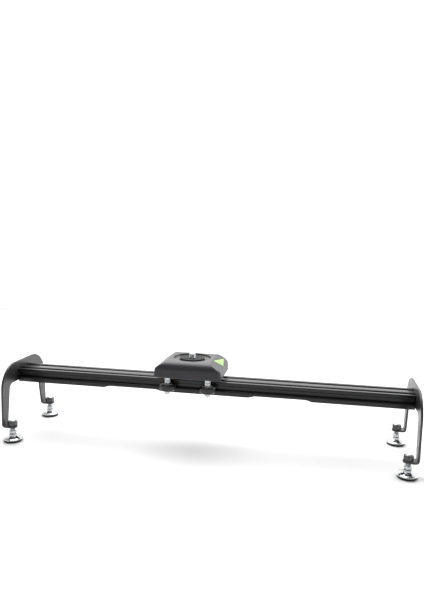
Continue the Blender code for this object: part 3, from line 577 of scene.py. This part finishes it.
# Wheels. Black acetal V-wheels turned on a lathe, with 45-degree flanks that run in the rail's
# side slots, a stepped face and fine tool rings.
acetal_finish = new_finish("black_acetal", (0.014, 0.014, 0.015), 0.33)
vary_roughness(acetal_finish, add_noise(acetal_finish, (80, 80, 2500), 4), 0.25, 0.42)
add_relief(acetal_finish, add_noise(acetal_finish, (60, 60, 3000), 3), 0.00003, 0.5)
vary_colour(acetal_finish, add_noise(acetal_finish, (90, 90, 300), 4),
            (0.01, 0.01, 0.011), (0.022, 0.022, 0.023))

WHEEL_RIM, WHEEL_HALF, TREAD_HALF = 11.95 * MM, 5.1 * MM, 2.95 * MM
WHEEL_BORE, LIP_BORE, LIP_HALF = 8.3 * MM, 7.1 * MM, 0.5 * MM
wheel_shoulder = WHEEL_RIM - (WHEEL_HALF - TREAD_HALF)
half_wheel = [
    (LIP_BORE, LIP_HALF), (WHEEL_BORE, LIP_HALF), (WHEEL_BORE, WHEEL_HALF - 0.4 * MM),
    (WHEEL_BORE + 0.4 * MM, WHEEL_HALF), (wheel_shoulder, WHEEL_HALF), (WHEEL_RIM, TREAD_HALF),
]
wheel_profile = half_wheel + [(radius, -height) for radius, height in reversed(half_wheel)]
for end, row in FEET:
    low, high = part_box(f"{end}_{row}_wheel")
    middle = tuple((low + high) / 2)
    wheel = lathe(f"{end}_{row}_v_wheel", rounded(wheel_profile, 0.3 * MM, 4), acetal_finish, middle,
                  bored=True, columns=144)
    fit(wheel, f"{end}_{row}_wheel", "black_acetal", f"{end}_{row}_wheel")


# Wheel bearings. Two shielded ball bearings in each wheel: an outer ring, a pressed shield set
# a little lower and an inner ring, in bright steel.
bearing_finish = new_finish("bearing_steel", (0.6, 0.6, 0.61), 0.16, 1.0)
vary_roughness(bearing_finish, add_noise(bearing_finish, (600, 600, 60), 4), 0.1, 0.26)
vary_colour(bearing_finish, add_noise(bearing_finish, (200, 200, 200), 4),
            (0.52, 0.52, 0.53), (0.64, 0.64, 0.66))

RACE_RADIUS, RACE_RISE, RACE_BORE = 8 * MM, 4.7 * MM, 2.8 * MM
race_half = [
    (RACE_BORE, RACE_RISE / 2), (RACE_BORE, RACE_RISE), (4 * MM, RACE_RISE),
    (4.1 * MM, RACE_RISE - 0.35 * MM), (6.7 * MM, RACE_RISE - 0.3 * MM), (6.8 * MM, RACE_RISE),
    (RACE_RADIUS, RACE_RISE),
]
race_profile = race_half + [(radius, RACE_RISE - height) for radius, height in reversed(race_half)]
for end, row in FEET:
    for place in ("upper", "lower"):
        node = f"{end}_{row}_wheel_bearing_{place}"
        low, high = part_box(node)
        foot = ((low.x + high.x) / 2, (low.y + high.y) / 2, low.z)
        bearing = lathe(f"{end}_{row}_ball_bearing_{place}", rounded(race_profile, 0.15 * MM, 3),
                        bearing_finish, foot, bored=True)
        fit(bearing, f"{end}_{row}_wheel", "bearing_steel", node)


# Axle bolts. M5 button-head screws in bright zinc plate that hang the wheels from the deck.
# Each has its head on the deck and its thread down through the wheel.
for end, row in FEET:
    node = f"{end}_{row}_axle_bolt"
    low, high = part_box(node)
    head = ((low.x + high.x) / 2, (low.y + high.y) / 2, high.z - M5_HEAD_HEIGHT)
    bolt = button_screw(f"{end}_{row}_wheel_axle", zinc_finish, head, (0, 0, 1), M5_RADIUS,
                        high.z - M5_HEAD_HEIGHT - low.z, M5_HEAD_RADIUS, M5_HEAD_HEIGHT, M5_PITCH)
    fit(bolt, "carriage", "bright_zinc_steel", node)


# Axle nuts. Three M5 nuts on each bolt in bright zinc plate: one under the deck, one that sets
# the wheel's height and one that holds it on.
M5_BORE, M5_FLATS = 2.9 * MM, 8 * MM
for end, row in FEET:
    for place in ("upper", "spacer", "lower"):
        node = f"{end}_{row}_{place}_nut"
        low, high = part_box(node)
        rise = high.z - low.z
        nut_profile = [(M5_BORE + 0.3 * MM, 0)] + hex_band(M5_FLATS, 0, rise, 0.7 * MM)
        nut_profile += [(M5_BORE + 0.3 * MM, rise), (M5_BORE, rise - 0.3 * MM), (M5_BORE, 0.3 * MM)]
        foot = ((low.x + high.x) / 2, (low.y + high.y) / 2, low.z)
        nut = lathe(f"{end}_{row}_{place}_axle_nut", nut_profile, zinc_finish, foot, bored=True)
        fit(nut, "carriage", "bright_zinc_steel", node)


# Carriage plate. The flat aluminium deck under the cover, kept as cut, with a brushed finish
# whose lines run along the rail.
plate_finish = new_finish("brushed_aluminium", (0.42, 0.42, 0.43), 0.35, 1.0)
brush_lines = add_noise(plate_finish, (20, 2500, 2500), 5)
vary_roughness(plate_finish, brush_lines, 0.25, 0.45)
add_relief(plate_finish, brush_lines, 0.00002, 0.6)
vary_colour(plate_finish, add_noise(plate_finish, (40, 40, 40), 3), (0.36, 0.36, 0.37), (0.46, 0.46, 0.47))
carried_plate = bpy.data.objects["carriage_plate"]
carried_plate.material_slots[0].material = plate_finish


# Cover. Moulded charcoal plastic with a fine spark-eroded grain: a round shoulder at the front
# and back, a flat slope at each end, a flat top and a round recess for the seat. A triangular
# pocket for the level is cut in the right slope.
cover_finish = new_finish("moulded_charcoal", (0.024, 0.023, 0.027), 0.4, 0.0, 1.55)
mould_grain = add_noise(cover_finish, (1500, 1500, 1500), 4)
add_relief(cover_finish, mould_grain, 0.00012, 0.6)
vary_roughness(cover_finish, add_noise(cover_finish, (700, 700, 700), 4), 0.3, 0.5)
vary_colour(cover_finish, add_noise(cover_finish, (500, 500, 500), 5),
            (0.019, 0.018, 0.021), (0.032, 0.030, 0.036))

cover_low, cover_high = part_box("carriage_cover")
CARRIAGE_X = (cover_low.x + cover_high.x) / 2
COVER_HALF = np.array([cover_high.x - cover_low.x, cover_high.y - cover_low.y]) / 2
COVER_RISE = cover_high.z - cover_low.z
COVER_CORNER, COVER_WALL, COVER_SIDE = 9 * MM, 2.4 * MM, 9.9 * MM
COVER_SHOULDER, COVER_DRAFT = 12.5 * MM, 0.8 * MM
SLOPE_RUN, SLOPE_DROP = 17.3 * MM, 12 * MM
RECESS_RADIUS, RECESS_DEPTH = COVER_HALF[1] - COVER_SHOULDER - 2 * MM, 2.2 * MM
CEILING, SCREW_HOLE = 2.6 * MM, 5.16 * MM


def cover_ring(inset, height, wall=0.0):
    """A round rectangle drawn in by an inset and a wall, with 16 points round each corner and
    12 along each side, and held inside the flat slopes at the two ends."""
    half_x, half_y = COVER_HALF - inset - wall
    corner = max(COVER_CORNER - 0.3 * inset - wall, 1 * MM)
    arc = np.linspace(0, math.pi / 2, 16)
    points = []
    for quarter, (sx, sy) in enumerate(((1, 1), (-1, 1), (-1, -1), (1, -1))):
        turn = arc + quarter * math.pi / 2
        points.append(np.stack([sx * (half_x - corner) + corner * np.cos(turn),
                                sy * (half_y - corner) + corner * np.sin(turn)], 1))
    ring = []
    for quarter in range(4):
        start, end = points[quarter][-1], points[(quarter + 1) % 4][0]
        ring += [points[quarter], start + (end - start) * np.linspace(0, 1, 14)[1:-1, None]]
    ring = np.concatenate(ring)
    run = SLOPE_RUN * (height - COVER_RISE + SLOPE_DROP) / SLOPE_DROP
    reach = COVER_HALF[0] - run - wall * math.hypot(SLOPE_RUN, SLOPE_DROP) / SLOPE_DROP
    return np.column_stack([np.clip(ring[:, 0], -reach, reach), ring[:, 1], np.full(len(ring), height)])


def cover_circle(radius, height):
    """A circle whose points face those of the cover's innermost ring."""
    ring = cover_ring(COVER_SHOULDER, height)
    ring[:, :2] *= radius / np.linalg.norm(ring[:, :2], axis=1)[:, None]
    return ring


def cover_shoulder(rise, wall=0.0, steps=18):
    """Rings up the shoulder, a quarter ellipse from the low wall to the top."""
    turn = np.linspace(0, math.pi / 2, steps)
    inset = COVER_SHOULDER - (COVER_SHOULDER - COVER_DRAFT) * np.cos(turn)
    height = (COVER_SIDE + (COVER_RISE - COVER_SIDE) * np.sin(turn)) * rise
    return [cover_ring(a, b, wall) for a, b in zip(inset, height)]


recess_floor = COVER_RISE - RECESS_DEPTH
fillet = 0.35 * MM
rings = [cover_ring(0.25 * MM, 0), cover_ring(0.05 * MM, 0.08 * MM), cover_ring(0, 0.35 * MM)]
rings += [cover_ring(COVER_DRAFT * share, COVER_SIDE * share) for share in (0.3, 0.6, 0.9)]
rings += cover_shoulder(1.0)
recess_wall = [(fillet, COVER_RISE), (0.1 * MM, COVER_RISE - 0.1 * MM), (0, COVER_RISE - fillet),
               (-0.2 * MM, recess_floor + fillet), (-0.3 * MM, recess_floor + 0.1 * MM),
               (-0.6 * MM, recess_floor)]
rings += [cover_circle(RECESS_RADIUS + reach, height) for reach, height in recess_wall]
rings += [cover_circle(SCREW_HOLE, recess_floor), cover_circle(SCREW_HOLE, recess_floor - CEILING)]
rings += [cover_circle(RECESS_RADIUS - 2 * MM, recess_floor - CEILING)]
rings += cover_shoulder((recess_floor - CEILING) / COVER_RISE, COVER_WALL)[::-1][1:]
rings += [cover_ring(0, 0, COVER_WALL)]
cover_foot = np.array([CARRIAGE_X, 0, cover_low.z])
cover = skin("moulded_cover", np.array(rings) + cover_foot, cover_finish, True, 30)

LEVEL_CORNERS = np.array([(16.7, -11.2), (7.2, 33.6), (1.5, 0.2)]) * MM
level_drop = SLOPE_DROP * (1 - LEVEL_CORNERS[:, 0] / SLOPE_RUN)
level_x = COVER_HALF[0] - LEVEL_CORNERS[:, 0]
level_points = np.column_stack([level_x, LEVEL_CORNERS[:, 1], COVER_RISE - level_drop])
level_points += cover_foot
level_facing = np.cross(level_points[2] - level_points[0], level_points[1] - level_points[0])
level_facing /= np.linalg.norm(level_facing)


def triangle_at(shrink, lift, radius):
    """The level's outline drawn in and lifted off its face, with each corner rounded."""
    middle = level_points.mean(0)
    reach = level_points - middle
    along_u = reach[0] / np.linalg.norm(reach[0])
    along_v = np.cross(level_facing, along_u)
    flat = np.stack([reach @ along_u, reach @ along_v], 1)
    flat *= 1 - shrink / np.linalg.norm(flat, axis=1)[:, None]
    curve = round_corners(flat, radius, 6)
    return middle + curve[:, :1] * along_u + curve[:, 1:] * along_v + level_facing * lift


pocket_rows = [triangle_at(0, lift * MM, 0.4 * MM) for lift in (-5.3, 12.5)]
cut_away(cover, skin("pocket", np.array(pocket_rows), cover_finish))
cover.data.set_sharp_from_angle(angle=math.radians(30))
fit(cover, "carriage", "moulded_cover", "carriage_cover")


# Bubble level. A triangular block of polished green acrylic let into the cover's right slope,
# with its face flush and its upper edges bevelled.
level_finish = new_finish("green_acrylic", (0.3, 0.62, 0.1), 0.12, 0.0, 1.4)
vary_colour(level_finish, add_noise(level_finish, (260, 260, 260), 3),
            (0.25, 0.55, 0.07), (0.36, 0.68, 0.15))
add_relief(level_finish, add_noise(level_finish, (90, 90, 90), 2), 0.00002, 0.3)

rows = [triangle_at(0.75 * MM, -5 * MM, 0.5 * MM), triangle_at(0.75 * MM, -0.8 * MM, 0.5 * MM),
        triangle_at(0.9 * MM, -0.35 * MM, 0.5 * MM), triangle_at(1.6 * MM, 0, 0.5 * MM)]
level = skin("green_level", np.array(rows), level_finish, sharp=20)
fit(level, "carriage", "level_acrylic", "bubble_level")


# Camera seat. A black rubber ring in the recess under whatever is screwed on, moulded with
# raised rings for grip.
seat_low, seat_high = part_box("camera_seat")
SEAT_RISE = seat_high.z - seat_low.z
SEAT_RADIUS = 19 * MM
seat_ring = [(SCREW_HOLE, 0), (SEAT_RADIUS, 0), (SEAT_RADIUS, SEAT_RISE - 0.3 * MM),
             (SEAT_RADIUS - 0.3 * MM, SEAT_RISE)]
for reach in np.arange(17.6, 6.5, -1.4):
    seat_ring += [(reach * MM, SEAT_RISE), ((reach - 0.2) * MM, SEAT_RISE - 0.4 * MM),
                  ((reach - 0.5) * MM, SEAT_RISE - 0.4 * MM), ((reach - 0.7) * MM, SEAT_RISE)]
seat_ring += [(SCREW_HOLE, SEAT_RISE)]
seat = lathe("rubber_seat", rounded(seat_ring, 0.15 * MM, 2), rubber_finish, (CARRIAGE_X, 0, seat_low.z),
             bored=True, columns=128)
fit(seat, "carriage", "black_rubber", "camera_seat")


# Camera screw. A 3/8 inch screw in bright zinc plate, held by its hexagon head on the deck.
# Its thread runs up through the nut, the cover and the seat.
CAMERA_RADIUS, CAMERA_PITCH, CAMERA_FLATS, CAMERA_HEAD = 4.76 * MM, 1.5875 * MM, 14.3 * MM, 6 * MM
screw_low, screw_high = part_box("camera_screw")
length = screw_high.z - screw_low.z
half_head = hex_band(CAMERA_FLATS, 0, CAMERA_HEAD, 0.9 * MM)
screw_profile = [(0, 0)] + half_head[:7] + [(half_head[6][0], CAMERA_HEAD - 0.2 * MM, CAMERA_FLATS)]
screw_profile += [(half_head[6][0] - 0.2 * MM, CAMERA_HEAD, CAMERA_FLATS), (CAMERA_RADIUS, CAMERA_HEAD)]
screw_profile += thread(CAMERA_RADIUS, CAMERA_HEAD + 0.3 * MM, length - 0.6 * MM, 0.85 * MM, CAMERA_PITCH)
screw_profile += [(CAMERA_RADIUS - 0.8 * MM, length - 0.1 * MM), (CAMERA_RADIUS - 1 * MM, length)]
screw_profile += [(0, length)]
camera_screw = lathe("mounting_screw", screw_profile, zinc_finish, (CARRIAGE_X, 0, screw_low.z),
                     pitch=CAMERA_PITCH)
fit(camera_screw, "carriage", "bright_zinc_steel", "camera_screw")


# Camera screw nut. A hexagon nut in bright zinc plate that locks the screw under the cover's
# top, with both ends chamfered.
nut_low, nut_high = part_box("camera_screw_nut")
rise = nut_high.z - nut_low.z
CAMERA_BORE = 5.16 * MM
nut_profile = [(CAMERA_BORE + 0.4 * MM, 0)] + hex_band(CAMERA_FLATS, 0, rise, 1 * MM)
nut_profile += [(CAMERA_BORE + 0.4 * MM, rise), (CAMERA_BORE, rise - 0.4 * MM), (CAMERA_BORE, 0.4 * MM)]
camera_nut = lathe("mounting_screw_nut", nut_profile, zinc_finish, (CARRIAGE_X, 0, nut_low.z), bored=True)
fit(camera_nut, "carriage", "bright_zinc_steel", "camera_screw_nut")
